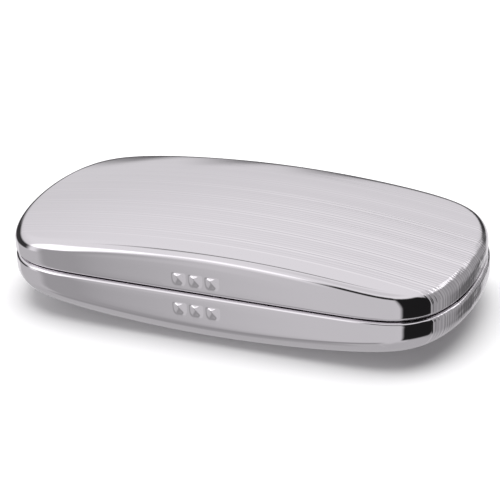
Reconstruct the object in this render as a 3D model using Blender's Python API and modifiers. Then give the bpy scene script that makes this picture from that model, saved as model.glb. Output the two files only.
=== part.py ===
"""Hard eyeglasses case: two pressed aluminium half shells on a sprung rear hinge.

Units are metres, +Z is up, +X is the long way of the case, -Y is its front.
The origin is the middle of the flat that the case stands on.
"""
import math

import bmesh
import bpy
import numpy as np
from mathutils import Matrix

MM = 0.001

# ---- Overall sizes -------------------------------------------------------------
CASE_LENGTH = 160.0 * MM
CASE_WIDTH = 78.4 * MM
BASE_DEPTH = 18.7 * MM          # middle of the base's outer face, below the parting plane
LID_DEPTH = 15.85 * MM          # middle of the lid's outer face, above the parting plane
BASE_END_RISE = 7.7 * MM        # how far the base's bottom curves up at the two ends
LID_END_DROP = 7.95 * MM        # how far the lid's top curves down at the two ends
SIDE_DROP = 2.45 * MM           # how far both curve over at the long sides
OUTLINE_POWER = 9.4             # straight long sides and bowed ends, from above
STANDING_FLAT = 0.6 * MM        # depth of the flat pressed into the curved bottom

# ---- Shells --------------------------------------------------------------------
SHEET = 0.7 * MM
LID_FILLET = 3.6 * MM
BASE_FILLET = 6.4 * MM
RIM_RADIUS = 1.5 * MM
PARTING_GAP = 0.36 * MM
LID_INSET = 0.35 * MM           # the lid is a little smaller all round
LID_SIDE_PLAY = 0.35 * MM       # the lid sits this far to the left on its pin
FIT = 0.3 * MM                  # gap between pieces that bear on each other

# ---- Finger grips pressed into the front walls -----------------------------------
GRIP_COUNT = 3
GRIP_SIZE = 4.2 * MM
GRIP_PITCH = 5.8 * MM
GRIP_HEIGHT = 1.0 * MM
GRIP_TIP_RISE = 1.0 * MM        # the tip of each grip, above the middle of its square
GRIP_ROW_X = -3.4 * MM          # middle of the row, along the case
LID_GRIP_LEVEL = 4.9 * MM
BASE_GRIP_LEVEL = 5.7 * MM

# ---- Hinge ---------------------------------------------------------------------
HINGE_INSET = 0.7 * MM          # pin centre, inside the base's rear face
PIN_RADIUS = 0.55 * MM
KNUCKLE_WALL = 0.55 * MM
LEAF_SHEET = 0.5 * MM
KNUCKLE_LENGTH = 4.5 * MM
SPRING_LENGTH = 8.0 * MM
SPRING_WIRE = 0.45 * MM
SPRING_TURNS = 4
SPRING_LEG = 4.0 * MM
RIVETS_PER_LEAF = 3
RIVET_PITCH = 20.0 * MM
RIVET_SHANK = 0.7 * MM
RIVET_HEAD = 1.5 * MM
RIVET_HEAD_HEIGHT = 0.7 * MM
RIVET_TAIL_HEIGHT = 0.4 * MM

# ---- Lining --------------------------------------------------------------------
LINING = 1.0 * MM
LIP_COVER = 0.4 * MM            # how far the rolled rim reaches over the lining's edge
PAD_MARGIN = 9.0 * MM           # pad edge, inside the case's outer face
PAD_THICKNESS = 2.4 * MM
PAD_EDGE = 0.9 * MM

# ---- Worked out ----------------------------------------------------------------
HALF_LENGTH = CASE_LENGTH / 2
HALF_WIDTH = CASE_WIDTH / 2
PARTING_Z = BASE_DEPTH - STANDING_FLAT
HINGE_Y = HALF_WIDTH - HINGE_INSET
BORE_RADIUS = PIN_RADIUS + FIT
KNUCKLE_RADIUS = BORE_RADIUS + KNUCKLE_WALL
STATION = KNUCKLE_LENGTH + FIT  # one knuckle and the gap beside it
MIDDLE_HALF = KNUCKLE_LENGTH / 2
LID_INNER_START = MIDDLE_HALF + LID_SIDE_PLAY + FIT
SPRING_START = LID_INNER_START + KNUCKLE_LENGTH + LID_SIDE_PLAY + FIT
BASE_OUTER_START = SPRING_START + SPRING_LENGTH + FIT
LID_OUTER_START = BASE_OUTER_START + KNUCKLE_LENGTH + LID_SIDE_PLAY + FIT
HINGE_END = LID_OUTER_START + KNUCKLE_LENGTH
NOTCH_HALF = HINGE_END + LID_SIDE_PLAY + 2 * FIT
NOTCH_DEPTH = KNUCKLE_RADIUS + 2 * FIT
STRAIGHT_WALL = min(LID_DEPTH - LID_FILLET - LID_END_DROP * (HINGE_END / HALF_LENGTH) ** 2,
                    BASE_DEPTH - BASE_FILLET - BASE_END_RISE * (HINGE_END / HALF_LENGTH) ** 2)
LEAF_FOOT = STRAIGHT_WALL - SIDE_DROP          # the leaves end where the walls start to curve
RIVET_LEVEL = (NOTCH_DEPTH + LEAF_FOOT) / 2
LEG_INSET = LID_INSET + SHEET + FIT + LEAF_SHEET + FIT + SPRING_WIRE / 2
LINING_INSET = LEG_INSET + SPRING_WIRE / 2 + FIT
LIP_INSET = LINING_INSET + LIP_COVER
LINING_TOP = PARTING_GAP / 2 + SHEET + FIT

# ---- Fineness of the curved faces ------------------------------------------------
SHELL_SIDES = 60
SOFT_SIDES = 40
SPINE_SHARE = 0.55              # length of the line that the crown's rings close on
COIL_STEPS = 8                  # points in one turn of a spring
WELD = 0.01 * MM                # points closer than this are one point

LID, BASE = 1, -1
SIDE_NAME = {LID: "lid", BASE: "base"}


def scene_collections():
    """Clear the scene and make the object's and the cutters' collections."""
    for old in list(bpy.data.objects):
        bpy.data.objects.remove(old, do_unlink=True)
    made = []
    for name in ("eyeglasses_case", "cutters"):
        group = bpy.data.collections.new(name)
        bpy.context.scene.collection.children.link(group)
        made.append(group)
    return made


PARTS, CUTTERS = scene_collections()


def material(name, colour, roughness, metallic):
    made = bpy.data.materials.new(name)
    made.use_nodes = True
    shader = made.node_tree.nodes["Principled BSDF"]
    shader.inputs["Base Color"].default_value = (*colour, 1)
    shader.inputs["Roughness"].default_value = roughness
    shader.inputs["Metallic"].default_value = metallic
    return made


ALUMINIUM = material("polished_aluminium", (0.70, 0.68, 0.71), 0.2, 1.0)
STEEL = material("hinge_steel", (0.56, 0.56, 0.57), 0.3, 1.0)
SPRING_STEEL = material("spring_steel", (0.42, 0.42, 0.44), 0.3, 1.0)
VELOUR = material("grey_velour", (0.05, 0.05, 0.055), 0.95, 0.0)
PAD_VELOUR = material("pad_velour", (0.06, 0.06, 0.066), 0.95, 0.0)


def add_object(name, mesh, finish, group=None):
    made = bpy.data.objects.new(name, mesh)
    (group or PARTS).objects.link(made)
    if finish:
        mesh.materials.append(finish)
    return made


def as_cutter(made):
    made.hide_render = True
    made.display_type = 'WIRE'
    return made


def boolean(target, cutter, operation):
    step = target.modifiers.new(f"{operation.lower()}_{cutter.name}", 'BOOLEAN')
    step.operation = operation
    step.object = cutter
    step.solver = 'EXACT'


# ---- The case's outline and its curved faces -------------------------------------
def outline(sides, inset):
    """Points round the case, evenly spaced, `inset` inside the base's outer face."""
    dense = np.linspace(0, math.pi / 2, 4001)
    x = HALF_LENGTH * np.cos(dense) ** (2 / OUTLINE_POWER)
    y = HALF_WIDTH * np.sin(dense)
    x[-1] = 0.0
    run = np.concatenate(([0], np.cumsum(np.hypot(np.diff(x), np.diff(y)))))
    even = np.linspace(0, run[-1], sides // 4 + 1)
    x, y = np.interp(even, run, x), np.interp(even, run, y)
    slope_x = OUTLINE_POWER / HALF_LENGTH * (x / HALF_LENGTH) ** (OUTLINE_POWER - 1)
    slope_y = 2 / HALF_WIDTH * (y / HALF_WIDTH)
    size = np.hypot(slope_x, slope_y)
    x, y = x - inset * slope_x / size, y - inset * slope_y / size
    x[-1], y[0] = 0.0, 0.0
    quarter = list(zip(x, y))
    half = quarter + [(-px, py) for px, py in quarter[-2::-1]]
    return half + [(px, -py) for px, py in half[-2:0:-1]]


def crown(side, x, y):
    """Height of the shell's outer face from the parting plane."""
    bow = (x / HALF_LENGTH) ** 2
    curl = SIDE_DROP * (y / HALF_WIDTH) ** 2
    if side == LID:
        return LID_DEPTH - LID_END_DROP * bow - curl
    return min(BASE_DEPTH - BASE_END_RISE * bow - curl, BASE_DEPTH - STANDING_FLAT)


def world(side, x, y, height):
    return (x, y, PARTING_Z + side * height)


def wall_ring(side, sides, inset, height):
    return [world(side, x, y, height) for x, y in outline(sides, inset)]


def crown_ring(side, sides, inset, below, share=1.0):
    """A ring `below` the crown, drawn in to `share` of the way out from the spine."""
    ring = []
    for x, y in outline(sides, inset):
        spine = SPINE_SHARE * x
        px, py = spine + share * (x - spine), share * y
        ring.append(world(side, px, py, crown(side, px, py) - below))
    return ring


def fillet_rings(side, sides, inset, radius, below, steps):
    """Rings from the top of the wall round to the crown."""
    rings = []
    for step in range(steps + 1):
        turn = math.radians(90 * step / steps)
        rings.append(crown_ring(side, sides, inset + radius * (1 - math.cos(turn)),
                                below + radius * (1 - math.sin(turn))))
    return rings


def skin(name, rings, side):
    """One open surface through the rings; rings that close on a line are welded."""
    bm = bmesh.new()
    place = bm.verts.layers.int.new("place")
    bmesh.ops.create_circle(bm, segments=len(rings[0]), radius=1)
    bm.verts.ensure_lookup_table()
    for number, vert in enumerate(bm.verts):
        vert[place] = number
        vert.co = rings[0][number]
    edges = bm.edges[:]
    for ring in rings[1:]:
        new = bmesh.ops.extrude_edge_only(bm, edges=edges)["geom"]
        verts = {part for part in new if isinstance(part, bmesh.types.BMVert)}
        edges = [part for part in new if isinstance(part, bmesh.types.BMEdge)
                 and set(part.verts) <= verts]
        for vert in verts:
            vert.co = ring[vert[place]]
    bmesh.ops.remove_doubles(bm, verts=bm.verts, dist=WELD)
    bmesh.ops.recalc_face_normals(bm, faces=bm.faces)
    top = max(bm.faces, key=lambda face: side * face.calc_center_median().z)
    if top.normal.z * side < 0:
        bmesh.ops.reverse_faces(bm, faces=bm.faces)
    mesh = bpy.data.meshes.new(name)
    bm.to_mesh(mesh)
    bm.free()
    mesh.shade_smooth()
    return mesh


def cylinder(name, radius, start, end, group=CUTTERS, finish=None, segments=24):
    """A cylinder along X on the hinge line."""
    bm = bmesh.new()
    bmesh.ops.create_cone(bm, cap_ends=True, segments=segments, radius1=radius,
                          radius2=radius, depth=end - start)
    mesh = bpy.data.meshes.new(name)
    bm.to_mesh(mesh)
    bm.free()
    made = add_object(name, mesh, finish, group)
    made.rotation_euler = (0, math.pi / 2, 0)
    made.location = ((start + end) / 2, HINGE_Y, PARTING_Z)
    return made


def block(name, low, high, group=CUTTERS, finish=None):
    bm = bmesh.new()
    bmesh.ops.create_cube(bm, size=1)
    for vert in bm.verts:
        vert.co = [a if part < 0 else b for part, a, b in zip(vert.co, low, high)]
    mesh = bpy.data.meshes.new(name)
    bm.to_mesh(mesh)
    bm.free()
    return add_object(name, mesh, finish, group)


def span_z(side, near, far):
    ends = (PARTING_Z + side * near, PARTING_Z + side * far)
    return min(ends), max(ends)


# ---- Shells --------------------------------------------------------------------
def rivet_places():
    middle = (RIVETS_PER_LEAF - 1) / 2
    return [(number - middle) * RIVET_PITCH for number in range(RIVETS_PER_LEAF)]


def rivet_holes(side):
    """Cutters for the holes that the rivets pass through, wall and leaf alike."""
    holes = []
    for number, x in enumerate(rivet_places()):
        bm = bmesh.new()
        reach = 3 * (SHEET + LEAF_SHEET + FIT)
        bmesh.ops.create_cone(bm, cap_ends=True, segments=16, radius1=RIVET_SHANK + FIT,
                              radius2=RIVET_SHANK + FIT, depth=2 * reach)
        name = f"hole_{SIDE_NAME[side]}_{number}"
        mesh = bpy.data.meshes.new(name)
        bm.to_mesh(mesh)
        bm.free()
        hole = as_cutter(add_object(name, mesh, None, CUTTERS))
        hole.rotation_euler = (math.pi / 2, 0, 0)
        hole.location = world(side, x, HALF_WIDTH - SHEET, RIVET_LEVEL)
        holes.append(hole)
    return holes


def add_grips(shell, side, face_y, level):
    """Join a row of square pyramids, their tips set high, to the front wall."""
    for number in range(GRIP_COUNT):
        bm = bmesh.new()
        root = SHEET / 2
        reach = GRIP_HEIGHT + root
        corner = GRIP_SIZE / 2 * math.sqrt(2)
        widen = reach / GRIP_HEIGHT
        bmesh.ops.create_cone(bm, cap_ends=True, segments=4, radius1=corner * widen,
                              radius2=0, depth=reach)
        bmesh.ops.rotate(bm, verts=bm.verts, matrix=Matrix.Rotation(math.pi / 4, 3, 'Z'))
        for vert in bm.verts:
            vert.co.y += GRIP_TIP_RISE if vert.co.z > 0 else GRIP_TIP_RISE * (1 - widen)
        name = f"grip_{SIDE_NAME[side]}_{number}"
        mesh = bpy.data.meshes.new(name)
        bm.to_mesh(mesh)
        bm.free()
        grip = as_cutter(add_object(name, mesh, None, CUTTERS))
        grip.rotation_euler = (math.pi / 2, 0, 0)
        x = GRIP_ROW_X + (number - (GRIP_COUNT - 1) / 2) * GRIP_PITCH
        grip.location = world(side, x, face_y + root - reach / 2, level)
        boolean(shell, grip, 'UNION')


def make_shell(name, side, inset, fillet, grip_level, holes):
    """A dish with a rolled rim, a notch for the hinge and grips on its front."""
    sides = SHELL_SIDES
    low = PARTING_GAP / 2
    rings = [wall_ring(side, sides, LIP_INSET, low)]
    for turn in (0, 30, 60, 90):
        lean = math.radians(turn)
        rings.append(wall_ring(side, sides, inset + RIM_RADIUS * (1 - math.sin(lean)),
                               low + RIM_RADIUS * (1 - math.cos(lean))))
    rings += fillet_rings(side, sides, inset, fillet, 0.0, 3)
    for share in (0.7, 0.35, 0.0):
        rings.append(crown_ring(side, sides, inset + fillet, 0.0, share))
    shell = add_object(name, skin(name, rings, side), ALUMINIUM)
    wall = shell.modifiers.new("sheet", 'SOLIDIFY')
    wall.thickness = SHEET
    wall.offset = -1
    wall.use_even_offset = True

    bottom, top = span_z(side, -FIT, NOTCH_DEPTH)
    notch = block(f"notch_{name}", (-NOTCH_HALF, HALF_WIDTH - 3 * LIP_INSET, bottom),
                  (NOTCH_HALF, HALF_WIDTH + LIP_INSET, top))
    boolean(shell, as_cutter(notch), 'DIFFERENCE')
    for hole in holes:
        boolean(shell, hole, 'DIFFERENCE')
    add_grips(shell, side, -(HALF_WIDTH - inset), grip_level)
    return shell


# ---- Hinge ---------------------------------------------------------------------
def make_leaf(name, side, wall_inset, spans, holes):
    """A riveted strip with rolled knuckles that reach out to the pin."""
    face = HALF_WIDTH - wall_inset - SHEET - FIT
    bottom, top = span_z(side, NOTCH_DEPTH, LEAF_FOOT)
    leaf = block(name, (-HINGE_END, face - LEAF_SHEET, bottom), (HINGE_END, face, top),
                 PARTS, STEEL)
    root_bottom, root_top = span_z(side, PIN_RADIUS + KNUCKLE_WALL / 2, NOTCH_DEPTH + FIT)
    for number, (start, end) in enumerate(spans):
        root = block(f"{name}_root_{number}", (start, face - LEAF_SHEET, root_bottom),
                     (end, face, root_top))
        boolean(leaf, as_cutter(root), 'UNION')
        barrel = cylinder(f"{name}_barrel_{number}", KNUCKLE_RADIUS, start, end)
        boolean(leaf, as_cutter(barrel), 'UNION')
    bore = cylinder(f"{name}_bore", BORE_RADIUS, -HINGE_END - STATION, HINGE_END + STATION)
    boolean(leaf, as_cutter(bore), 'DIFFERENCE')
    for hole in holes:
        boolean(leaf, hole, 'DIFFERENCE')
    return leaf


def both_ends(start, end):
    return [(-end, -start), (start, end)]


def shifted(spans, by):
    return [(start + by, end + by) for start, end in spans]


def make_spring(name, end):
    """A torsion spring round the pin, one leg on each leaf."""
    radius = BORE_RADIUS + SPRING_WIRE / 2
    run = SPRING_LENGTH - 2 * FIT - SPRING_WIRE
    first = end * (SPRING_START + FIT + SPRING_WIRE / 2)
    leg_y = HALF_WIDTH - LEG_INSET - HINGE_Y
    points = [(first, leg_y, -NOTCH_DEPTH - SPRING_LEG), (first, leg_y, -NOTCH_DEPTH)]
    for step in range(SPRING_TURNS * COIL_STEPS + 1):
        share = step / (SPRING_TURNS * COIL_STEPS)
        turn = 2 * math.pi * SPRING_TURNS * share
        points.append((first + end * run * share, -radius * math.cos(turn),
                       radius * math.sin(turn)))
    last = first + end * run
    points += [(last, leg_y, NOTCH_DEPTH), (last, leg_y, NOTCH_DEPTH + SPRING_LEG)]
    curve = bpy.data.curves.new(name, 'CURVE')
    curve.dimensions = '3D'
    curve.bevel_depth = SPRING_WIRE / 2
    curve.bevel_resolution = 2
    curve.use_fill_caps = True
    wire = curve.splines.new('POLY')
    wire.points.add(len(points) - 1)
    for point, (x, y, z) in zip(wire.points, points):
        point.co = (x, y, z, 1)
    spring = add_object(name, curve, SPRING_STEEL)
    spring.location = (0, HINGE_Y, PARTING_Z)
    return spring


def make_rivet(name, side, wall_inset, x):
    """A rivet through the rear wall and the leaf, turned about its own axis."""
    tail = LEAF_SHEET + FIT + SHEET + FIT
    top = FIT + RIVET_HEAD_HEIGHT
    profile = [(0, top), (0.5 * RIVET_HEAD, 0.9 * top), (RIVET_HEAD, FIT + 0.3 * MM),
               (RIVET_HEAD, FIT), (RIVET_SHANK, FIT), (RIVET_SHANK, -tail),
               (RIVET_HEAD, -tail), (RIVET_HEAD, -tail - RIVET_TAIL_HEIGHT),
               (0, -tail - RIVET_TAIL_HEIGHT)]
    mesh = bpy.data.meshes.new(name)
    bm = bmesh.new()
    verts = [bm.verts.new((radius, 0, level)) for radius, level in profile]
    for first, second in zip(verts, verts[1:]):
        bm.edges.new((first, second))
    bm.to_mesh(mesh)
    bm.free()
    rivet = add_object(name, mesh, STEEL)
    turned = rivet.modifiers.new("turned", 'SCREW')
    turned.steps = turned.render_steps = 12
    turned.use_merge_vertices = True
    turned.merge_threshold = WELD
    rivet.rotation_euler = (-math.pi / 2, 0, 0)
    rivet.location = world(side, x, HALF_WIDTH - wall_inset, RIVET_LEVEL)
    return rivet


# ---- Lining and pads -------------------------------------------------------------
def make_lining(name, side, fillet):
    """A flocked tray that follows the shell and stops under its rolled rim."""
    sides = SOFT_SIDES
    below = SHEET + FIT
    radius = max(fillet - LINING_INSET + LID_INSET, 2 * LINING)
    rings = [wall_ring(side, sides, LINING_INSET, LINING_TOP)]
    rings += fillet_rings(side, sides, LINING_INSET, radius, below, 3)
    for share in (0.66, 0.33, 0.0):
        rings.append(crown_ring(side, sides, LINING_INSET + radius, below, share))
    lining = add_object(name, skin(name, rings, side), VELOUR)
    wall = lining.modifiers.new("thickness", 'SOLIDIFY')
    wall.thickness = LINING
    wall.offset = -1
    wall.use_even_offset = True
    return lining


def make_pad(name, side):
    """A soft pad on the floor of the lining, thickest in its middle."""
    sides = SOFT_SIDES
    floor = SHEET + FIT + LINING + FIT
    rings = [crown_ring(side, sides, PAD_MARGIN, floor, share) for share in (0.0, 0.5, 1.0)]
    for share in (1.0, 0.85, 0.5, 0.0):
        thick = PAD_EDGE + (PAD_THICKNESS - PAD_EDGE) * (1 - share ** 2)
        rings.append(crown_ring(side, sides, PAD_MARGIN, floor + thick, share))
    mesh = skin(name, rings, side)
    return add_object(name, mesh, PAD_VELOUR)


# ---- The assembly --------------------------------------------------------------
def build():
    base_holes = rivet_holes(BASE)
    lid_holes = rivet_holes(LID)
    make_shell("base_shell", BASE, 0.0, BASE_FILLET, BASE_GRIP_LEVEL, base_holes)
    lid_shell = make_shell("lid_shell", LID, LID_INSET, LID_FILLET, LID_GRIP_LEVEL, lid_holes)

    base_spans = [(-MIDDLE_HALF, MIDDLE_HALF)]
    base_spans += both_ends(BASE_OUTER_START, BASE_OUTER_START + KNUCKLE_LENGTH)
    lid_spans = both_ends(LID_INNER_START, LID_INNER_START + KNUCKLE_LENGTH)
    lid_spans += both_ends(LID_OUTER_START, LID_OUTER_START + KNUCKLE_LENGTH)
    make_leaf("base_hinge_leaf", BASE, 0.0, base_spans, base_holes)
    make_leaf("lid_hinge_leaf", LID, LID_INSET, shifted(lid_spans, -LID_SIDE_PLAY), lid_holes)
    cylinder("hinge_pin", PIN_RADIUS, -HINGE_END, HINGE_END, PARTS, STEEL, 16)
    make_spring("left_spring", -1)
    make_spring("right_spring", 1)
    for number, x in enumerate(rivet_places()):
        place = ("left", "middle", "right")[number] if RIVETS_PER_LEAF == 3 else str(number)
        make_rivet(f"base_rivet_{place}", BASE, 0.0, x)
        make_rivet(f"lid_rivet_{place}", LID, LID_INSET, x)

    make_lining("base_lining", BASE, BASE_FILLET)
    make_lining("lid_lining", LID, LID_FILLET)
    make_pad("base_pad", BASE)
    make_pad("lid_pad", LID)
    lid_shell.location.x = -LID_SIDE_PLAY


build()
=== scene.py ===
# %% [markdown]
# # A hard eyeglasses case in polished aluminium
# The case is two thin dishes of pressed aluminium, joined by a sprung hinge at the
# back and lined with dark velour. This lesson dresses a finished engineering model:
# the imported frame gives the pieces, their places and the bodies that move, and each
# step below makes one piece or one finish at the quality a close view needs.
# Everything is in metres, +X is the long way of the case and -Y is its front.

import math

import bmesh
import bpy
import numpy as np
from mathutils import Matrix, Vector


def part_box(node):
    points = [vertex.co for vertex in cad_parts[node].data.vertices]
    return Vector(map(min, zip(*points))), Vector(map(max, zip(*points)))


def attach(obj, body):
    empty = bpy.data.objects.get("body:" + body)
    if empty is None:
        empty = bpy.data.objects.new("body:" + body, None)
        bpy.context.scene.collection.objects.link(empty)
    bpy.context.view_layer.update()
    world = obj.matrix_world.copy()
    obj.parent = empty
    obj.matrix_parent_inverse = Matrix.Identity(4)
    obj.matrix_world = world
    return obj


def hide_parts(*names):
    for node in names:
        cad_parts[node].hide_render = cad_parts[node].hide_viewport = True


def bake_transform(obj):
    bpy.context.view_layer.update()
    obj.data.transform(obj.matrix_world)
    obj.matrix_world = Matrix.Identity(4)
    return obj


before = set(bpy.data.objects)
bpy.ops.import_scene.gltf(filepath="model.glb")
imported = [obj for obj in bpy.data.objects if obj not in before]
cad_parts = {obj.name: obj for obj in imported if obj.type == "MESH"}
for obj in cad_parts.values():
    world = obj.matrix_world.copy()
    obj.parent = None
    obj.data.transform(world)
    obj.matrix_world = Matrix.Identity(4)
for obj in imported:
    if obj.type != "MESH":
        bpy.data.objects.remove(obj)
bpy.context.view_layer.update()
MM = 0.001
LID, BASE = 1, -1

# %% [markdown]
# ## Measure the case on the frame
# A fine shell has to land exactly where the engineering one is, so the overall
# sizes are read from the nodes' boxes instead of being typed in again. Only what a
# box can't tell is written here: the radius of a fillet, how far the top bows, the
# power that shapes the outline.

# %% Sizes of the case
base_low, base_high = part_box("base_shell")
lid_low, lid_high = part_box("lid_shell")
HALF_LENGTH = base_high.x
HALF_WIDTH = base_high.y
PARTING_GAP = lid_low.z - base_high.z
PARTING_Z = (lid_low.z + base_high.z) / 2
LID_INSET = HALF_WIDTH - lid_high.y
LID_SHIFT = (lid_low.x + lid_high.x) / 2
STANDING_FLAT = 0.6 * MM
LID_DEPTH = lid_high.z - PARTING_Z
BASE_DEPTH = PARTING_Z - base_low.z + STANDING_FLAT

LID_END_DROP = 7.95 * MM
BASE_END_RISE = 7.7 * MM
SIDE_DROP = 2.45 * MM
OUTLINE_POWER = 9.4
SPINE_SHARE = 0.55
SHEET = 0.7 * MM
RIM_RADIUS = 1.5 * MM
LID_FILLET = 3.6 * MM
BASE_FILLET = 6.4 * MM
FIT = 0.3 * MM
LINING = 1.0 * MM
print(f"half length {HALF_LENGTH:.4f}, half width {HALF_WIDTH:.4f}, parting at {PARTING_Z:.4f}")
print(f"lid inset {LID_INSET:.5f}, lid shift {LID_SHIFT:.5f}")

# %% [markdown]
# ## The camera
# A small object looks calmest from well back, through a long lens, which hardly
# bends its outline. The camera is placed by angles round the case and turned a little
# about its own line of sight.

# %% Camera
AZIMUTH = math.radians(22.94)
ELEVATION = math.radians(26.84)
ROLL = math.radians(-2.25)
CAMERA_DISTANCE = 0.6676
LENS_MM = 142.6
aim = Vector((-0.65 * MM, 0.66 * MM, PARTING_Z - 2.40 * MM))

back = Vector((math.sin(AZIMUTH) * math.cos(ELEVATION),
               -math.cos(AZIMUTH) * math.cos(ELEVATION), math.sin(ELEVATION)))
level_right = (-back).cross(Vector((0, 0, 1))).normalized()
level_up = level_right.cross(-back)
right = math.cos(ROLL) * level_right + math.sin(ROLL) * level_up
up = -math.sin(ROLL) * level_right + math.cos(ROLL) * level_up
camera_data = bpy.data.cameras.new("camera")
camera_data.lens = LENS_MM
camera_data.sensor_width = 36
camera_data.clip_start = 0.01
camera = bpy.data.objects.new("camera", camera_data)
bpy.context.scene.collection.objects.link(camera)
camera.matrix_world = Matrix.Translation(aim + CAMERA_DISTANCE * back) @ Matrix(
    (right, up, back)).transposed().to_4x4()
bpy.context.scene.camera = camera
print("camera at", [round(value, 4) for value in camera.location])

# %% [markdown]
# ## The outline and the bowed faces
# Seen from above, the case has straight long sides and bowed ends. One equation
# draws it, and the points are then spread evenly along it so that every face of the
# mesh has about the same size. A polished surface shows each uneven face as a
# wobble in its reflections, so even spacing matters more than the number of points.
# Both faces of the case bow along its length and roll over a little at the sides.

# %% Outline and crown
def outline(sides, inset):
    """Evenly spaced points round the case, `inset` inside the base's outer face."""
    dense = np.linspace(0, math.pi / 2, 20001)
    x = HALF_LENGTH * np.cos(dense) ** (2 / OUTLINE_POWER)
    y = HALF_WIDTH * np.sin(dense)
    x[-1] = 0.0
    run = np.concatenate(([0], np.cumsum(np.hypot(np.diff(x), np.diff(y)))))
    even = np.linspace(0, run[-1], sides // 4 + 1)
    x, y = np.interp(even, run, x), np.interp(even, run, y)
    slope_x = OUTLINE_POWER / HALF_LENGTH * (x / HALF_LENGTH) ** (OUTLINE_POWER - 1)
    slope_y = 2 / HALF_WIDTH * (y / HALF_WIDTH)
    size = np.hypot(slope_x, slope_y)
    x, y = x - inset * slope_x / size, y - inset * slope_y / size
    x[-1], y[0] = 0.0, 0.0
    quarter = list(zip(x, y))
    half = quarter + [(-px, py) for px, py in quarter[-2::-1]]
    return half + [(px, -py) for px, py in half[-2:0:-1]]


def crown(side, x, y):
    """Height of the outer face from the parting plane, on the lid or the base."""
    bow = (x / HALF_LENGTH) ** 2
    curl = SIDE_DROP * (y / HALF_WIDTH) ** 2
    if side == LID:
        return LID_DEPTH - LID_END_DROP * bow - curl
    return min(BASE_DEPTH - BASE_END_RISE * bow - curl, BASE_DEPTH - STANDING_FLAT)


def wall_ring(side, sides, inset, height):
    return [(x, y, PARTING_Z + side * height) for x, y in outline(sides, inset)]


def crown_ring(side, sides, inset, below, share=1.0):
    """A ring that lies `below` the crown and is drawn in towards the middle line."""
    ring = []
    for x, y in outline(sides, inset):
        spine = SPINE_SHARE * x
        px, py = spine + share * (x - spine), share * y
        ring.append((px, py, PARTING_Z + side * (crown(side, px, py) - below)))
    return ring


def fillet_rings(side, sides, inset, radius, below, steps):
    rings = []
    for step in range(steps + 1):
        turn = math.radians(90 * step / steps)
        rings.append(crown_ring(side, sides, inset + radius * (1 - math.cos(turn)),
                                below + radius * (1 - math.sin(turn))))
    return rings


# %% [markdown]
# ## From rings to a skin
# A pressed dish is easiest to grow the way a potter does: start with a circle at
# the rim, extrude its edge, move the new edge to the next ring, and go on until the
# last ring closes on a line. A number stored on every vertex says which place round
# the ring it has, and an extrusion hands it on.

# %% Grow a skin through rings
def grow(rings, side):
    bm = bmesh.new()
    place = bm.verts.layers.int.new("place")
    bmesh.ops.create_circle(bm, segments=len(rings[0]), radius=1)
    bm.verts.ensure_lookup_table()
    for number, vert in enumerate(bm.verts):
        vert[place] = number
        vert.co = rings[0][number]
    edges = bm.edges[:]
    for ring in rings[1:]:
        new = bmesh.ops.extrude_edge_only(bm, edges=edges)["geom"]
        verts = {part for part in new if isinstance(part, bmesh.types.BMVert)}
        edges = [part for part in new if isinstance(part, bmesh.types.BMEdge)
                 and set(part.verts) <= verts]
        for vert in verts:
            vert.co = ring[vert[place]]
    bmesh.ops.remove_doubles(bm, verts=bm.verts, dist=0.001 * MM)
    bmesh.ops.recalc_face_normals(bm, faces=bm.faces)
    top = max(bm.faces, key=lambda face: side * face.calc_center_median().z)
    if top.normal.z * side < 0:
        bmesh.ops.reverse_faces(bm, faces=bm.faces)
    return bm


def finish_piece(name, bm, body, nodes, finish, sharp=30):
    """Turn a bmesh into a smooth shaded object that rides on a body."""
    mesh = bpy.data.meshes.new(name)
    bm.to_mesh(mesh)
    bm.free()
    mesh.shade_smooth()
    mesh.set_sharp_from_angle(angle=math.radians(sharp))
    mesh.materials.append(finish)
    piece = bpy.data.objects.new(name, mesh)
    bpy.context.scene.collection.objects.link(piece)
    if body:
        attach(piece, body)
    if nodes:
        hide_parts(*nodes)
    print(f"{name}: {len(mesh.vertices)} vertices, {len(mesh.polygons)} faces")
    return piece


# %% [markdown]
# ## Node helpers
# Materials here are small graphs. These helpers add one node, join sockets and do
# arithmetic, so that a finish below reads as a recipe.

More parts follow.
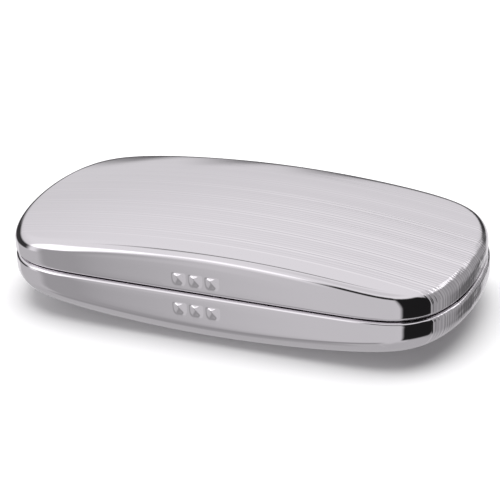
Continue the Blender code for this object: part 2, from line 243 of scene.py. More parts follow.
# %% Node helpers
class Graph:
    def __init__(self, name):
        self.material = bpy.data.materials.new(name)
        self.material.use_nodes = True
        self.tree = self.material.node_tree
        self.shader = self.tree.nodes["Principled BSDF"]
        self.place = self.node("ShaderNodeTexCoord").outputs["Object"]

    def node(self, kind, **settings):
        made = self.tree.nodes.new(kind)
        for key, value in settings.items():
            setattr(made, key, value)
        return made

    def join(self, source, target):
        self.tree.links.new(source, target)

    def math(self, operation, *values):
        made = self.node("ShaderNodeMath", operation=operation)
        for socket, value in zip(made.inputs, values):
            if isinstance(value, (int, float)):
                socket.default_value = value
            else:
                self.join(value, socket)
        return made.outputs[0]

    def axes(self):
        split = self.node("ShaderNodeSeparateXYZ")
        self.join(self.place, split.inputs[0])
        return split.outputs

    def stretched_noise(self, scale, detail=2.0, roughness=0.5):
        """Noise squeezed or stretched along the object's axes by `scale`."""
        mapping = self.node("ShaderNodeMapping")
        mapping.inputs["Scale"].default_value = scale
        self.join(self.place, mapping.inputs[0])
        noise = self.node("ShaderNodeTexNoise")
        noise.inputs["Scale"].default_value = 1.0
        noise.inputs["Detail"].default_value = detail
        noise.inputs["Roughness"].default_value = roughness
        self.join(mapping.outputs[0], noise.inputs["Vector"])
        return noise.outputs[0]

    def remap(self, value, low, high, new_low, new_high, smooth=False):
        made = self.node("ShaderNodeMapRange")
        made.interpolation_type = 'SMOOTHSTEP' if smooth else 'LINEAR'
        self.join(value, made.inputs[0])
        for socket, number in zip(made.inputs[1:5], (low, high, new_low, new_high)):
            socket.default_value = number
        return made.outputs[0]

    def blend_colours(self, factor, first, second):
        made = self.node("ShaderNodeMix", data_type='RGBA')
        self.join(factor, made.inputs[0])
        made.inputs[6].default_value = (*first, 1)
        made.inputs[7].default_value = (*second, 1)
        return made.outputs[2]

    def bump(self, height, distance, strength=1.0, under=None):
        made = self.node("ShaderNodeBump")
        made.inputs["Strength"].default_value = strength
        made.inputs["Distance"].default_value = distance
        self.join(height, made.inputs["Height"])
        if under is not None:
            self.join(under, made.inputs["Normal"])
        return made.outputs[0]


# %% [markdown]
# ## Polished aluminium with pressed lines
# The sheet is bright rolled aluminium. Its decoration is a field of fine straight
# lines that run the long way, closer together than a fingernail, with a stronger
# pair of lines every few millimetres. The front and back margins stay plain and
# mirror bright. The lines run over the end and down its wall, as pressed lines do.
# They are deepest at the right front and fade towards the left end and the back,
# and the right end's wall is a little wavy, which breaks up what it mirrors.
# Along the lines the colour also carries painted highlight on the ridges and painted shade in
# the grooves.

# %% Aluminium
LINE_PITCH = 1.24 * MM
HAIR_PITCH = 0.43 * MM
PAIR_PITCH = 8.7 * MM
PAIR_START = 7.6 * MM
PAIR_GAP = 1.3 * MM
PAIR_WIDTH = 0.42 * MM
PLAIN_MARGIN = 9.6 * MM
LINE_WANDER = 0.4 * LINE_PITCH
FAINTEST_LEFT = 0.12            # depth of the lines at the left end, against the right
FAINTEST_BACK = 0.2             # depth at the back, against the front
LINE_DEPTH = 0.013 * MM
WAVE_DEPTH = 0.7 * MM
CLEAN_METAL = 0.70              # where plain metal lies between the dark and bright tint; the lines' painted highlight and painted shade move the colour away from it
DARK_TINT = (0.62, 0.60, 0.63)
BRIGHT_TINT = (1.0, 0.975, 1.0)


def fine_lines(graph, across, field):
    """Two pitches of fine ridges, unevenly strong, inside the field."""
    wander = graph.stretched_noise((3.0, 240.0, 3.0), 2.0)
    bent = graph.math('ADD', across, graph.math('MULTIPLY', wander, LINE_WANDER))

    def ridges(pitch, threshold):
        wave = graph.math('SINE', graph.math('MULTIPLY', bent, 2 * math.pi / pitch))
        return graph.remap(wave, threshold, 1, 0, 1, smooth=True)

    uneven = graph.remap(graph.stretched_noise((6.0, 160.0, 6.0), 1.0), 0.3, 0.7, 0.5, 1.3)
    lines = graph.math('ADD', graph.math('MULTIPLY', ridges(LINE_PITCH, 0.0), 1.2),
                       graph.math('MULTIPLY', ridges(HAIR_PITCH, -0.5), 0.4))
    return graph.math('MULTIPLY', graph.math('MULTIPLY', lines, uneven), field)


def accent(graph, across, offset, width):
    """One narrow line in every pair pitch."""
    phase = graph.math('PINGPONG', graph.math('ADD', across, PAIR_START + offset),
                       PAIR_PITCH / 2)
    return graph.remap(phase, 0, width, 1, 0, smooth=True)


def line_depth(graph, along, across):
    """How deep the lines are pressed, from 0 to 1, at each place on the case."""
    rightward = graph.remap(along, -0.5 * HALF_LENGTH, 0.85 * HALF_LENGTH,
                            FAINTEST_LEFT, 1.0, smooth=True)
    forward = graph.remap(across, 0.05 * HALF_WIDTH, 0.65 * HALF_WIDTH,
                          1.0, FAINTEST_BACK, smooth=True)
    return graph.math('MULTIPLY', rightward, forward)


def wavy_end(graph, along):
    """A normal that is disturbed only on the right end's wall."""
    at_end = graph.remap(along, 0.955 * HALF_LENGTH, 0.985 * HALF_LENGTH, 0, 1, smooth=True)
    waves = graph.math('MULTIPLY', graph.stretched_noise((200.0, 90.0, 260.0), 2.0), at_end)
    return graph.bump(waves, WAVE_DEPTH)


def make_aluminium():
    graph = Graph("pressed_aluminium")
    along, across = graph.axes()["X"], graph.axes()["Y"]
    reach = graph.math('ABSOLUTE', across)
    edge = HALF_WIDTH - PLAIN_MARGIN
    field = graph.remap(reach, edge, edge - MM, 0, 1, smooth=True)
    border = graph.remap(graph.math('ABSOLUTE', graph.math('SUBTRACT', reach, edge)),
                         0, PAIR_WIDTH, 1, 0, smooth=True)
    lines = fine_lines(graph, across, field)
    pair = graph.math('MAXIMUM', accent(graph, across, -PAIR_GAP / 2, PAIR_WIDTH),
                      accent(graph, across, PAIR_GAP / 2, PAIR_WIDTH))
    pair = graph.math('MAXIMUM', graph.math('MULTIPLY', pair, field), border)
    depth = line_depth(graph, along, across)

    strokes = graph.math('MULTIPLY', graph.stretched_noise((14.0, 2600.0, 14.0), 3.0), 0.3)
    pressed = graph.math('ADD', lines, graph.math('MULTIPLY', pair, 2.2))
    height = graph.math('ADD', graph.math('MULTIPLY', pressed, depth), strokes)
    graph.join(graph.bump(height, LINE_DEPTH, 1.0, wavy_end(graph, along)),
               graph.shader.inputs["Normal"])

    smear = graph.stretched_noise((5.0, 300.0, 5.0), 3.0)
    graph.join(graph.remap(smear, 0.3, 0.7, 0.03, 0.065), graph.shader.inputs["Roughness"])
    # Painted highlight and painted shade: the base colour is lighter on the ridges and the
    # paired lines, and darker in the groove inside each pair and between the hairlines, so the
    # lines show even where the mirrored tent is plain.
    groove_shade_mask = graph.math('MULTIPLY', accent(graph, across, 0.0, 0.6 * PAIR_WIDTH), field)
    painted_line_shading = graph.math('SUBTRACT', graph.math('MULTIPLY', pair, 1.0),
                       graph.math('MULTIPLY', groove_shade_mask, 0.6))
    hatch_light_and_shade = graph.math('MULTIPLY', graph.math('SUBTRACT', lines,
                                              graph.math('MULTIPLY', field, 0.7)), 0.32)
    painted_line_shading = graph.math('MULTIPLY', graph.math('ADD', painted_line_shading, hatch_light_and_shade), depth)
    tint_share = graph.math('ADD', graph.math('ADD', painted_line_shading, CLEAN_METAL),
                       graph.remap(smear, 0.3, 0.7, -0.05, 0.03))
    graph.join(graph.blend_colours(tint_share, DARK_TINT, BRIGHT_TINT),
               graph.shader.inputs["Base Color"])
    graph.shader.inputs["Metallic"].default_value = 1.0
    return graph.material


aluminium = make_aluminium()

# %% [markdown]
# ## The two shells
# Each shell is one skin: the rolled rim, the straight wall, the tight shoulder and
# the bowed crown. The hinge notch and the finger grips are cut into the skin before
# it gets its thickness, so that the pyramids are hollow behind, as pressed ones are.
# Cutting is done with planes that split only the faces near the place, because that
# leaves the rest of the even mesh as it was.

# %% Shell skins
SHELL_SIDES = 240
RIM_STEPS = 10
SHOULDER_STEPS = 16
CROWN_STEPS = 40
LIP_INSET = 3.3 * MM


def shell_rings(side, inset, fillet):
    low = PARTING_GAP / 2
    rings = [wall_ring(side, SHELL_SIDES, LIP_INSET, low),
             wall_ring(side, SHELL_SIDES, (LIP_INSET + RIM_RADIUS + inset) / 2, low)]
    for step in range(RIM_STEPS + 1):
        lean = math.radians(90 * step / RIM_STEPS)
        rings.append(wall_ring(side, SHELL_SIDES, inset + RIM_RADIUS * (1 - math.sin(lean)),
                               low + RIM_RADIUS * (1 - math.cos(lean))))
    shoulder = fillet_rings(side, SHELL_SIDES, inset, fillet, 0.0, SHOULDER_STEPS)
    foot = rings[-1]
    for share in (0.25, 0.5, 0.75):
        rings.append([tuple(a + share * (b - a) for a, b in zip(first, last))
                      for first, last in zip(foot, shoulder[0])])
    rings += shoulder
    for step in range(1, CROWN_STEPS + 1):
        rings.append(crown_ring(side, SHELL_SIDES, inset + fillet, 0.0,
                                1 - step / CROWN_STEPS))
    return rings


def near_faces(bm, near):
    """The faces for which near(centre) holds, with their edges and corners."""
    faces = [face for face in bm.faces if near(face.calc_center_median())]
    return (faces + list({edge for face in faces for edge in face.edges})
            + list({vert for face in faces for vert in face.verts}))


def split(bm, part, point, normal):
    """Split a part of the mesh with a plane, and hand back what it has become."""
    return bmesh.ops.bisect_plane(bm, geom=part, dist=0.0005 * MM, plane_co=point,
                                  plane_no=normal)["geom"]


# %% The hinge notch
PIN_RADIUS = 0.55 * MM
KNUCKLE_RADIUS = 1.4 * MM
NOTCH_DEPTH = KNUCKLE_RADIUS + 2 * FIT
NOTCH_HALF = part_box("hinge_pin")[1].x + 3.2 * FIT
NOTCH_SPLIT_REACH = 8 * MM      # faces this far past the notch's ends are split too


def cut_notch(bm, side):
    edge_y = HALF_WIDTH - 2 * LIP_INSET
    part = near_faces(bm, lambda at: at.y > edge_y
                      and abs(at.x) < NOTCH_HALF + NOTCH_SPLIT_REACH
                      and side * (at.z - PARTING_Z) < 3 * NOTCH_DEPTH)
    for end in (-1, 1):
        part = split(bm, part, (end * NOTCH_HALF, 0, 0), (1, 0, 0))
    level = PARTING_Z + side * NOTCH_DEPTH
    split(bm, part, (0, 0, level), (0, 0, 1))
    gone = [face for face in bm.faces
            if face.calc_center_median().y > edge_y
            and abs(face.calc_center_median().x) < NOTCH_HALF
            and side * (face.calc_center_median().z - level) < 0]
    bmesh.ops.delete(bm, geom=gone, context='FACES')


# %% The finger grips
GRIP_SIZE = 4.2 * MM
GRIP_PITCH = 5.8 * MM
GRIP_HEIGHT = 1.1 * MM
GRIP_TIP_RISE = 1.15 * MM
GRIP_ROW_X = -3.4 * MM
GRIP_Z = {LID: PARTING_Z + 4.9 * MM, BASE: PARTING_Z - 5.7 * MM}
GRIP_MARGIN = 0.5 * MM
GRIP_STEP = 0.2 * MM
GRIP_ROUNDING = 0.26
GRIP_SPLIT_REACH = 2 * MM       # faces this far past the row of grips are split too
FRONT_WALL = 1.2 * MM           # the front wall's faces lie within this of the front


def soft_least(first, second, soft):
    """The smaller of two numbers, rounded off where they meet."""
    share = max(soft - abs(first - second), 0.0) / soft
    return min(first, second) - share * share * soft / 4


def grip_height(u, v):
    """Height of one grip, from 0 to 1; u and v run from -1 to 1 over its square."""
    rise = GRIP_TIP_RISE / (GRIP_SIZE / 2)
    sides = soft_least(1 - u, 1 + u, GRIP_ROUNDING)
    top, bottom = (1 - v) / (1 - rise), (1 + v) / (1 + rise)
    lower = soft_least(sides, bottom, 3 * GRIP_ROUNDING)
    return -soft_least(-soft_least(lower, top, 2 * GRIP_ROUNDING), 0.0, 0.6 * GRIP_ROUNDING)


def press_grips(bm, side):
    """Three square pyramids, their tips set high, pressed out of the front wall."""
    level, half = GRIP_Z[side], GRIP_SIZE / 2
    reach = half + GRIP_MARGIN
    centres = [GRIP_ROW_X + number * GRIP_PITCH for number in (-1, 0, 1)]
    part = near_faces(bm, lambda at: at.y < -HALF_WIDTH + FRONT_WALL
                      and abs(at.x - GRIP_ROW_X) < GRIP_PITCH + reach + GRIP_SPLIT_REACH
                      and abs(at.z - level) < reach + GRIP_SPLIT_REACH)
    steps = round(reach / GRIP_STEP)
    for step in range(-steps, steps + 1):
        part = split(bm, part, (0, 0, level + step * GRIP_STEP), (0, 0, 1))
        for centre in centres:
            part = split(bm, part, (centre + step * GRIP_STEP, 0, 0), (1, 0, 0))
    for vert in {item for item in part if isinstance(item, bmesh.types.BMVert)}:
        for centre in centres:
            u, v = (vert.co.x - centre) / half, (vert.co.z - level) / half
            if max(abs(u), abs(v)) < reach / half:
                vert.co.y -= GRIP_HEIGHT * grip_height(u, v)


def make_shell(name, side, body, inset, fillet):
    bm = grow(shell_rings(side, inset, fillet), side)
    if side == LID:
        bmesh.ops.translate(bm, verts=bm.verts, vec=(LID_SHIFT, 0, 0))
    cut_notch(bm, side)
    press_grips(bm, side)
    shell = finish_piece(name + "_skin", bm, body, [name], aluminium, 60)
    wall = shell.modifiers.new("sheet", 'SOLIDIFY')
    wall.thickness = SHEET
    wall.offset = -1
    wall.use_even_offset = True
    return shell


make_shell("base_shell", BASE, "base", 0.0, BASE_FILLET)
make_shell("lid_shell", LID, "lid", LID_INSET, LID_FILLET)

# %% [markdown]
# ## The steel of the hinge
# The hinge strips, the pin and the rivets are satin steel, brushed along the case,
# and the springs are darker drawn wire. Both get their grain from noise that is
# stretched along the way the metal was rolled or drawn, with a little staining.

# %% Steel finishes
def make_steel(name, dark, bright, grain, smooth, rough):
    graph = Graph(name)
    lines = graph.stretched_noise(grain, 3.0)
    stains = graph.stretched_noise((220.0, 220.0, 220.0), 3.0)
    mixed = graph.math('ADD', graph.math('MULTIPLY', lines, 0.6),
                       graph.math('MULTIPLY', stains, 0.4))
    graph.join(graph.blend_colours(graph.remap(mixed, 0.35, 0.65, 0, 1), dark, bright),
               graph.shader.inputs["Base Color"])
    graph.join(graph.remap(mixed, 0.35, 0.65, rough, smooth), graph.shader.inputs["Roughness"])
    graph.join(graph.bump(lines, 0.01 * MM), graph.shader.inputs["Normal"])
    graph.shader.inputs["Metallic"].default_value = 1.0
    return graph.material


hinge_steel = make_steel("satin_hinge_steel", (0.50, 0.50, 0.51), (0.62, 0.62, 0.63),
                         (90.0, 7000.0, 7000.0), 0.24, 0.38)
spring_steel = make_steel("drawn_spring_wire", (0.34, 0.34, 0.36), (0.48, 0.48, 0.50),
                          (5000.0, 900.0, 900.0), 0.22, 0.34)

# %% [markdown]
# ## The hinge strips
# Each half of the hinge is one strip of sheet: a flat part that is riveted inside
# the rear wall, and tabs that are rolled round the pin. It is made here as it is in
# a press. A flat sheet is cut into tabs, the free edge of each tab is extruded
# towards the pin, and a spin rolls it up. Thickness comes last.

# %% Places along the hinge
LEAF_SHEET = 0.5 * MM
KNUCKLE_LENGTH = 4.5 * MM
SPRING_LENGTH = 8.0 * MM
HINGE_Y = HALF_WIDTH - 0.7 * MM
HINGE_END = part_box("hinge_pin")[1].x
LEAF_FOOT = PARTING_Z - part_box("base_hinge_leaf")[0].z
SIDE_PLAY = abs(LID_SHIFT)
MIDDLE_HALF = KNUCKLE_LENGTH / 2
LID_INNER_START = MIDDLE_HALF + SIDE_PLAY + FIT
SPRING_START = LID_INNER_START + KNUCKLE_LENGTH + SIDE_PLAY + FIT
BASE_OUTER_START = SPRING_START + SPRING_LENGTH + FIT
LID_OUTER_START = HINGE_END - KNUCKLE_LENGTH
print(f"hinge {2 * HINGE_END:.4f} long, springs start {SPRING_START:.4f} from its middle")


def knuckle_spans(side):
    """Where the rolled tabs of one strip start and end."""
    if side == BASE:
        return [(-MIDDLE_HALF, MIDDLE_HALF),
                (-BASE_OUTER_START - KNUCKLE_LENGTH, -BASE_OUTER_START),
                (BASE_OUTER_START, BASE_OUTER_START + KNUCKLE_LENGTH)]
    spans = []
    for start in (LID_INNER_START, LID_OUTER_START):
        spans += [(-start - KNUCKLE_LENGTH, -start), (start, start + KNUCKLE_LENGTH)]
    return [(start - SIDE_PLAY, end - SIDE_PLAY) for start, end in spans]


# %% Cut, roll and thicken a strip
ROLL_START = math.radians(18.7)
ROLL_TURN = math.radians(290)


def make_leaf(name, side, body, inset):
    face = HALF_WIDTH - inset - SHEET - FIT - LEAF_SHEET
    near, far = PARTING_Z + side * NOTCH_DEPTH, PARTING_Z + side * LEAF_FOOT
    bm = bmesh.new()
    bmesh.ops.create_grid(bm, x_segments=1, y_segments=1, size=1)
    for vert in bm.verts:
        vert.co = (math.copysign(HINGE_END, vert.co.x), face, near if vert.co.y > 0 else far)
    spans = knuckle_spans(side)
    for x in {x for span in spans for x in span if abs(x) < HINGE_END}:
        bmesh.ops.bisect_plane(bm, geom=bm.verts[:] + bm.edges[:] + bm.faces[:],
                               dist=0.001 * MM, plane_co=(x, 0, 0), plane_no=(1, 0, 0))
    tabs = [edge for edge in bm.edges
            if all(abs(vert.co.z - near) < 0.01 * MM for vert in edge.verts)
            and any(start < (edge.verts[0].co.x + edge.verts[1].co.x) / 2 < end
                    for start, end in spans)]
    made = bmesh.ops.extrude_edge_only(bm, edges=tabs)["geom"]
    verts = [part for part in made if isinstance(part, bmesh.types.BMVert)]
    for vert in verts:
        vert.co.y = HINGE_Y - KNUCKLE_RADIUS * math.cos(ROLL_START)
        vert.co.z = PARTING_Z + side * KNUCKLE_RADIUS * math.sin(ROLL_START)
    edges = [part for part in made if isinstance(part, bmesh.types.BMEdge)
             and set(part.verts) <= set(verts)]
    bmesh.ops.spin(bm, geom=verts + edges, cent=(0, HINGE_Y, PARTING_Z), axis=(1, 0, 0),
                   angle=side * ROLL_TURN, steps=24, use_merge=False, use_duplicate=False)
    bmesh.ops.recalc_face_normals(bm, faces=bm.faces)
    plate = min(bm.faces, key=lambda part: side * -part.calc_center_median().z)
    if plate.normal.y > 0:
        bmesh.ops.reverse_faces(bm, faces=bm.faces)
    leaf = finish_piece(name + "_rolled", bm, body, [name], hinge_steel)
    sheet = leaf.modifiers.new("sheet", 'SOLIDIFY')
    sheet.thickness = LEAF_SHEET
    sheet.offset = -1
    edge = leaf.modifiers.new("dulled_edges", 'BEVEL')
    edge.width = 0.08 * MM
    edge.segments = 2
    edge.angle_limit = math.radians(50)
    return leaf


make_leaf("base_hinge_leaf", BASE, "base", 0.0)
make_leaf("lid_hinge_leaf", LID, "lid", LID_INSET)

# %% [markdown]
# ## The pin and the rivets
# The pin is a plain rod with dulled ends. A rivet is a turned shape, so half of its
# outline is drawn once and spun all the way round: a domed head outside the wall, a
# shank, and the flattened tail inside.

# %% Pin
def make_pin():
    bm = bmesh.new()
    bmesh.ops.create_cone(bm, cap_ends=True, segments=32, radius1=PIN_RADIUS,
                          radius2=PIN_RADIUS, depth=2 * HINGE_END)
    rims = [edge for edge in bm.edges if abs(edge.verts[0].co.z - edge.verts[1].co.z) < MM]
    bmesh.ops.bevel(bm, geom=rims, offset=0.16 * MM, offset_type='OFFSET', segments=3,
                    profile=0.5, affect='EDGES', material=-1)
    bmesh.ops.rotate(bm, verts=bm.verts, matrix=Matrix.Rotation(math.pi / 2, 3, 'Y'))
    bmesh.ops.translate(bm, verts=bm.verts, vec=(0, HINGE_Y, PARTING_Z))
    return finish_piece("hinge_pin_turned", bm, "base", ["hinge_pin"],
                        hinge_steel, 50)


make_pin()

# %% Rivets
RIVET_HEAD = 1.5 * MM
RIVET_SHANK = 0.7 * MM
RIVET_DOME = 0.75 * MM
RIVET_RIM = 0.2 * MM
RIVET_TAIL = 0.4 * MM


def make_rivet(name, body, inset):
    low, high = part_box(name)
    centre = Vector(((low.x + high.x) / 2, HALF_WIDTH - inset, (low.z + high.z) / 2))
    grip = SHEET + FIT + LEAF_SHEET + FIT
    half = [(RIVET_HEAD * math.sin(turn), RIVET_RIM + RIVET_DOME * math.cos(turn))
            for turn in (math.radians(15 * step) for step in range(7))]
    half += [(RIVET_HEAD, 0.02 * MM), (RIVET_SHANK, 0.02 * MM), (RIVET_SHANK, -grip),
             (RIVET_HEAD, -grip), (RIVET_HEAD, -grip - 0.5 * RIVET_TAIL),
             (0.7 * RIVET_HEAD, -grip - RIVET_TAIL), (0, -grip - RIVET_TAIL)]
    bm = bmesh.new()
    verts = [bm.verts.new(centre + Vector((radius, out, 0))) for radius, out in half]
    edges = [bm.edges.new(pair) for pair in zip(verts, verts[1:])]
    bmesh.ops.spin(bm, geom=verts + edges, cent=centre, axis=(0, 1, 0), angle=2 * math.pi,
                   steps=32, use_merge=True, use_duplicate=False)
    bmesh.ops.remove_doubles(bm, verts=bm.verts, dist=0.001 * MM)
    bmesh.ops.recalc_face_normals(bm, faces=bm.faces)
    return finish_piece(name + "_turned", bm, body, [name], hinge_steel, 40)


for place in ("left", "middle", "right"):
    make_rivet(f"base_rivet_{place}", "base", 0.0)
    make_rivet(f"lid_rivet_{place}", "lid", LID_INSET)

# %% [markdown]
# ## The torsion springs
# A torsion spring is a coil round the pin with a straight leg at each end, one leg
# on each strip. A circle of wire is carried along a path: every step extrudes its
# edge, and turns the new ring to face the way the path goes. The spring rides on
# neither body: it is baked in place where it is made.

# %% Springs
SPRING_WIRE = 0.45 * MM
SPRING_TURNS = 4
SPRING_LEG = 4.0 * MM
COIL_RADIUS = PIN_RADIUS + FIT + SPRING_WIRE / 2
LEG_INSET = LID_INSET + SHEET + FIT + LEAF_SHEET + FIT + SPRING_WIRE / 2
LEG_Y = HALF_WIDTH - LEG_INSET


def carry_along(bm, path, radius, segments=12):
    """Carry a circle along the points of a path, and close both ends."""
    ways = [(after - before).normalized()
            for before, after in zip([path[0]] + path[:-1], path[1:] + [path[-1]])]
    ring = bmesh.ops.create_circle(bm, cap_ends=True, segments=segments, radius=radius)["verts"]
    turn = Vector((0, 0, 1)).rotation_difference(ways[0]).to_matrix()
    bmesh.ops.rotate(bm, verts=ring, matrix=turn)
    bmesh.ops.translate(bm, verts=ring, vec=path[0])
    edges = list({edge for vert in ring for edge in vert.link_edges})
    for number in range(1, len(path)):
        made = bmesh.ops.extrude_edge_only(bm, edges=edges)["geom"]
        ring = [part for part in made if isinstance(part, bmesh.types.BMVert)]
        edges = [part for part in made if isinstance(part, bmesh.types.BMEdge)
                 and set(part.verts) <= set(ring)]
        bmesh.ops.translate(bm, verts=ring, vec=path[number] - path[number - 1])
        turn = ways[number - 1].rotation_difference(ways[number]).to_matrix()
        bmesh.ops.rotate(bm, verts=ring, cent=path[number], matrix=turn)
    bmesh.ops.edgeloop_fill(bm, edges=edges)
    bmesh.ops.recalc_face_normals(bm, faces=bm.faces)


def make_spring(name, end):
    run = SPRING_LENGTH - 2 * FIT - SPRING_WIRE
    first = end * (SPRING_START + FIT + SPRING_WIRE / 2)
    last = first + end * run
    bend = [(LEG_Y + (HINGE_Y - COIL_RADIUS - LEG_Y) * share * share * (3 - 2 * share),
             NOTCH_DEPTH * (1 - share)) for share in (0, 0.2, 0.4, 0.6, 0.8)]
    path = [Vector((first, LEG_Y, PARTING_Z - NOTCH_DEPTH - SPRING_LEG))]
    path += [Vector((first, y, PARTING_Z - below)) for y, below in bend]
    steps = 24 * SPRING_TURNS
    for step in range(steps + 1):
        turn = 2 * math.pi * SPRING_TURNS * step / steps
        path.append(Vector((first + end * run * step / steps,
                            HINGE_Y - COIL_RADIUS * math.cos(turn),
                            PARTING_Z + COIL_RADIUS * math.sin(turn))))
    path += [Vector((last, y, PARTING_Z + above)) for y, above in reversed(bend)]
    path.append(Vector((last, LEG_Y, PARTING_Z + NOTCH_DEPTH + SPRING_LEG)))
    bm = bmesh.new()
    carry_along(bm, path, SPRING_WIRE / 2)
    spring = finish_piece(name + "_wound", bm, None, [name], spring_steel, 50)
    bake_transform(spring)
    return spring


make_spring("left_spring", -1)
make_spring("right_spring", 1)

# %% [markdown]
# ## Velour
# The inside is flocked: very short fibres stand on a moulded tray. Close up it is a
# fine grain, and from further off it shows soft lighter patches where the nap lies
# another way. Sheen lights the fibres' tips at grazing angles.

# %% Velour finishes
def make_velour(name, dark, light, sheen):
    graph = Graph(name)
    fibres = graph.stretched_noise((3600.0, 3600.0, 3600.0), 2.0, 0.7)
    nap = graph.stretched_noise((45.0, 70.0, 60.0), 3.0, 0.6)
    mixed = graph.math('ADD', graph.math('MULTIPLY', fibres, 0.55),
                       graph.math('MULTIPLY', nap, 0.45))
    graph.join(graph.blend_colours(graph.remap(mixed, 0.35, 0.65, 0, 1, smooth=True),
                                   dark, light), graph.shader.inputs["Base Color"])
    graph.join(graph.remap(nap, 0.3, 0.7, 0.88, 1.0), graph.shader.inputs["Roughness"])
    soft = graph.bump(nap, 0.25 * MM)
    graph.join(graph.bump(fibres, 0.16 * MM, 1.0, soft), graph.shader.inputs["Normal"])
    graph.shader.inputs["Sheen Weight"].default_value = sheen
    graph.shader.inputs["Sheen Roughness"].default_value = 0.45
    graph.shader.inputs["Sheen Tint"].default_value = (0.75, 0.75, 0.8, 1)
    graph.shader.inputs["Specular IOR Level"].default_value = 0.15
    return graph.material


lining_velour = make_velour("flocked_lining", (0.022, 0.022, 0.025), (0.056, 0.056, 0.062), 0.3)
pad_velour = make_velour("pad_cover_velour", (0.058, 0.058, 0.064), (0.125, 0.125, 0.135), 0.6)

# %% [markdown]
# ## The linings
# A lining is a thin tray that follows the shell at a small distance and stops under
# its rolled rim. It grows through rings like the shell does, gets its thickness from
# a modifier, and its top edge is rounded, because flock hides a sharp edge.

# %% Linings
LINING_INSET = LEG_INSET + SPRING_WIRE / 2 + FIT
LINING_TOP = PARTING_GAP / 2 + SHEET + FIT
LINING_SIDES = 200
LINING_CROWN_STEPS = 24


def make_lining(name, side, body, fillet):
    below = SHEET + FIT
    radius = max(fillet - LINING_INSET + LID_INSET, 2 * LINING)
    shoulder = fillet_rings(side, LINING_SIDES, LINING_INSET, radius, below, 10)
    top = wall_ring(side, LINING_SIDES, LINING_INSET, LINING_TOP)
    rings = [[tuple(a + share * (b - a) for a, b in zip(first, last))
              for first, last in zip(top, shoulder[0])] for share in (0, 0.25, 0.5, 0.75)]
    rings += shoulder
    for step in range(1, LINING_CROWN_STEPS + 1):
        rings.append(crown_ring(side, LINING_SIDES, LINING_INSET + radius, below,
                                1 - step / LINING_CROWN_STEPS))
    bm = grow(rings, side)
    lining = finish_piece(name + "_flocked", bm, body, [name],
                          lining_velour, 60)
    tray = lining.modifiers.new("tray", 'SOLIDIFY')
    tray.thickness = LINING
    tray.offset = -1
    tray.use_even_offset = True
    edge = lining.modifiers.new("soft_edge", 'BEVEL')
    edge.width = 0.35 * MM
    edge.segments = 3
    edge.angle_limit = math.radians(60)
    return lining


make_lining("base_lining", BASE, "base", BASE_FILLET)
make_lining("lid_lining", LID, "lid", LID_FILLET)

# %% [markdown]
# ## The pads
# A pad is a thin slab of foam under a tight velour cover, thickest in its middle. It
# starts as a flat crowned form. Cloth then blows the cover up a little against its
# pinned underside, which gives the soft shoulder and the slight slackness that a
# drawn shape lacks. Cloth behaves best on large things, so the pad is settled at
# twenty times its size, and no point may move further than a set distance.

# %% Blow up a cover
SETTLING_SCALE = 20
SETTLING_FRAMES = 20
FURTHEST_MOVE = 0.45 * MM
COVER_PRESSURE = 4.0
COVER_SHRINK = -0.02            # less than nothing, so the cover is a little too large


def settle_cover(bm, held):
    """Move the vertices of bm as a cover under pressure, with some of them held."""
    bm.verts.index_update()
    start = np.array([vert.co for vert in bm.verts])
    mesh = bpy.data.meshes.new("settling_cover")
    bm.to_mesh(mesh)
    mesh.transform(Matrix.Scale(SETTLING_SCALE, 4))
    cover = bpy.data.objects.new("settling_cover", mesh)
    bpy.context.scene.collection.objects.link(cover)
    pins = cover.vertex_groups.new(name="held")
    pins.add([vert.index for vert in held], 1.0, 'REPLACE')
    cloth = cover.modifiers.new("settle", 'CLOTH')
    cloth.settings.vertex_group_mass = "held"
    cloth.settings.use_pressure = True
    cloth.settings.uniform_pressure_force = COVER_PRESSURE
    cloth.settings.shrink_min = COVER_SHRINK
    cloth.settings.effector_weights.gravity = 0.0
    for number in range(1, SETTLING_FRAMES + 1):
        bpy.context.scene.frame_set(number)
    settled = cover.evaluated_get(bpy.context.evaluated_depsgraph_get()).data
    end = np.empty(3 * len(settled.vertices))
    settled.vertices.foreach_get("co", end)
    move = end.reshape(-1, 3) / SETTLING_SCALE - start
    size = np.linalg.norm(move, axis=1)
    move *= (np.minimum(size, FURTHEST_MOVE) / np.maximum(size, 1e-9))[:, None]
    for vert, place in zip(bm.verts, start + move):
        vert.co = place
    bpy.context.scene.frame_set(1)
    bpy.data.objects.remove(cover, do_unlink=True)
    bpy.data.meshes.remove(mesh)
    print(f"cover moved {size.mean() * 1000:.2f} mm on average before its limit")


# %% Pads
PAD_MARGIN = 9.4 * MM
PAD_SIDES = 160
PAD_EDGE = 0.7 * MM
PAD_CROWN = 1.2 * MM
PAD_CORNER = 0.985
PAD_GAP = 0.05 * MM             # between the pad and the lining under it
PAD_UNDER_STEPS = 16
PAD_TOP_STEPS = 24


def make_pad(name, side, body):
    floor = SHEET + FIT + LINING + PAD_GAP
    rings = [crown_ring(side, PAD_SIDES, PAD_MARGIN, floor, step / PAD_UNDER_STEPS * PAD_CORNER)
             for step in range(PAD_UNDER_STEPS + 1)]
    rings.append(crown_ring(side, PAD_SIDES, PAD_MARGIN, floor + 0.3 * PAD_EDGE, 1.0))
    rings.append(crown_ring(side, PAD_SIDES, PAD_MARGIN, floor + 0.7 * PAD_EDGE, 1.0))
    for step in range(PAD_TOP_STEPS + 1):
        share = PAD_CORNER * (1 - step / PAD_TOP_STEPS)
        thick = PAD_EDGE + PAD_CROWN * (1 - share ** 2)
        rings.append(crown_ring(side, PAD_SIDES, PAD_MARGIN, floor + thick, share))
    bm = grow(rings, side)
    held = [vert for vert in bm.verts
            if all(face.normal.z * side > 0.9 for face in vert.link_faces)]
    settle_cover(bm, held)
    pad = finish_piece(name + "_cover", bm, body, [name], pad_velour, 180)
    smooth = pad.modifiers.new("smooth", 'SUBSURF')
    smooth.levels = smooth.render_levels = 1
    return pad


make_pad("base_pad", BASE, "base")
make_pad("lid_pad", LID, "lid")

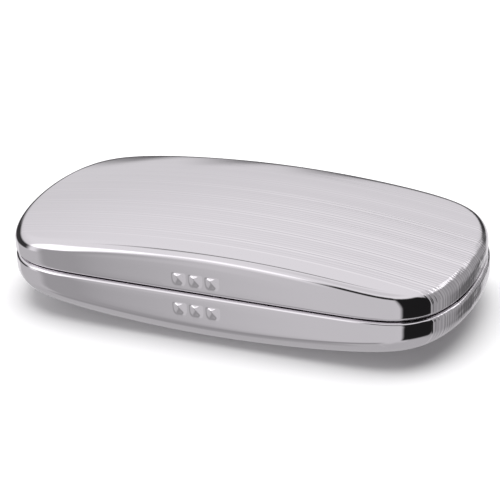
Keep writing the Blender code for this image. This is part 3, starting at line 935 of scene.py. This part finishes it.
# %% [markdown]
# ## Floor and light
# A pale floor and a soft studio tent. Polished metal shows what stands round it more
# than its own colour, so the tent is drawn as a sky with soft panels and a few dark
# gaps, which give the edges their bright and dark lines.

# %% Floor
def make_floor():
    bm = bmesh.new()
    bmesh.ops.create_grid(bm, x_segments=2, y_segments=2, size=3.0)
    mesh = bpy.data.meshes.new("floor")
    bm.to_mesh(mesh)
    bm.free()
    graph = Graph("pale_floor")
    graph.shader.inputs["Base Color"].default_value = (0.93, 0.93, 0.93, 1)
    graph.shader.inputs["Roughness"].default_value = 0.9
    mesh.materials.append(graph.material)
    floor = bpy.data.objects.new("floor", mesh)
    bpy.context.scene.collection.objects.link(floor)
    floor.visible_glossy = False
    return floor


make_floor()

# %% Fill light for the floor
def add_softbox(name, place, aim_at, size, power):
    light = bpy.data.lights.new(name, 'AREA')
    light.shape = 'DISK'
    light.size = size
    light.energy = power
    made = bpy.data.objects.new(name, light)
    made.location = place
    made.rotation_euler = (Vector(aim_at) - Vector(place)).to_track_quat('-Z', 'Y').to_euler()
    made.visible_glossy = False
    bpy.context.scene.collection.objects.link(made)
    return made


add_softbox("overhead_fill", (0.0, 0.1, 1.1), (0, 0, 0), 1.3, 13.0)

# %% [markdown]
# ## The tent that the metal mirrors
# Each row of the list is one soft panel or dark gap, given by where its middle is
# and how far it reaches, in degrees: azimuth 0 is behind the case, 90 to its right,
# 180 in front; elevation is up from the horizon. Later rows lie over earlier ones.
# Soft edges keep the bands in the metal from looking cut out.

# %% The tent
TENT_GREY = 0.79
TENT = (
    # azimuth, half width, soft, elevation, half height, soft, brightness
    (0, 180, 1, 90, 15, 7, 0.66),           # roof
    (-30, 75, 14, 8, 16, 12, 0.68),         # back wall of the tent
    (0, 180, 1, -70, 38, 8, 0.45),          # low glow from the table
    (165, 30, 4, 0, 52, 10, 0.59),          # grey panel in front
    (-162, 38, 5, -12, 44, 8, 0.58),        # its lower part, further round
    (-100, 34, 4, -30, 14, 6, 0.50),        # table at the left
    (-141, 13, 6, -22, 44, 8, 0.34),        # shaded strip, front left
    (-148, 34, 8, -51, 5, 3, 0.31),         # edge of the table, front
    (-76, 32, 8, -1, 13, 5, 0.035),         # dark gap at the left
    (-42, 36, 8, -6, 8, 4, 0.04),           # dark line where the table ends
    (3, 19, 6, 3, 10, 4, 0.04),             # the same, behind the right end
    (-33, 5, 3, -4, 9.5, 1, 0.12),          # four steps between those two
    (-26, 4, 3, -2, 9.5, 1, 0.12),
    (-20, 4, 3, 0, 12, 1, 0.12),
    (-12, 6, 3, 3, 12, 1, 0.12),
    (52, 36, 9, 2, 48, 14, 0.33),           # dim wall at the right
    (34, 18, 10, -22, 16, 8, 0.13),         # darker patch low at the right
    (36, 20, 5, 43, 4.2, 2, 1.60),          # narrow strip light, right
    (118, 31, 4, 7, 51, 5, 0.012),         # black flag, right and front
    (-126, 19, 5, 30, 16, 5, 1.50),         # bright softbox, front left
    (-150, 10, 4, 50, 6, 4, 1.20),          # its upper corner
    (172, 25, 4, 53, 8, 3, 0.02),           # arm of the black flag
    (-38, 26, 9, 58, 4, 3, 0.22),           # gap between roof and back
)


def make_tent():
    world = bpy.data.worlds.new("tent")
    bpy.context.scene.world = world
    world.use_nodes = True
    tree = world.node_tree
    background = tree.nodes["Background"]

    def calculate(operation, *values):
        made = tree.nodes.new("ShaderNodeMath")
        made.operation = operation
        for socket, value in zip(made.inputs, values):
            if isinstance(value, (int, float)):
                socket.default_value = value
            else:
                tree.links.new(value, socket)
        return made.outputs[0]

    split = tree.nodes.new("ShaderNodeSeparateXYZ")
    tree.links.new(tree.nodes.new("ShaderNodeTexCoord").outputs["Generated"], split.inputs[0])
    azimuth = calculate('DEGREES', calculate('ARCTAN2', split.outputs[0], split.outputs[1]))
    elevation = calculate('DEGREES', calculate('ARCSINE', split.outputs[2]))

    def window(value, middle, half, soft, turning=False):
        off = calculate('SUBTRACT', value, middle)
        if turning:
            off = calculate('WRAP', off, 180, -180)
        edge = tree.nodes.new("ShaderNodeMapRange")
        edge.interpolation_type = 'SMOOTHSTEP'
        tree.links.new(calculate('ABSOLUTE', off), edge.inputs[0])
        for socket, number in zip(edge.inputs[1:5], (half - soft, half + soft, 1, 0)):
            socket.default_value = number
        return edge.outputs[0]

    glow = TENT_GREY
    for middle, half, soft, height, half_height, soft_height, brightness in TENT:
        share = calculate('MULTIPLY', window(azimuth, middle, half, soft, True),
                          window(elevation, height, half_height, soft_height))
        keep = calculate('MULTIPLY', glow, calculate('SUBTRACT', 1, share))
        glow = calculate('ADD', keep, calculate('MULTIPLY', share, brightness))
    tree.links.new(glow, background.inputs["Strength"])
    background.inputs["Color"].default_value = (1.0, 0.985, 1.01, 1)
    return world


make_tent()
bpy.context.scene.view_settings.view_transform = 'Standard'
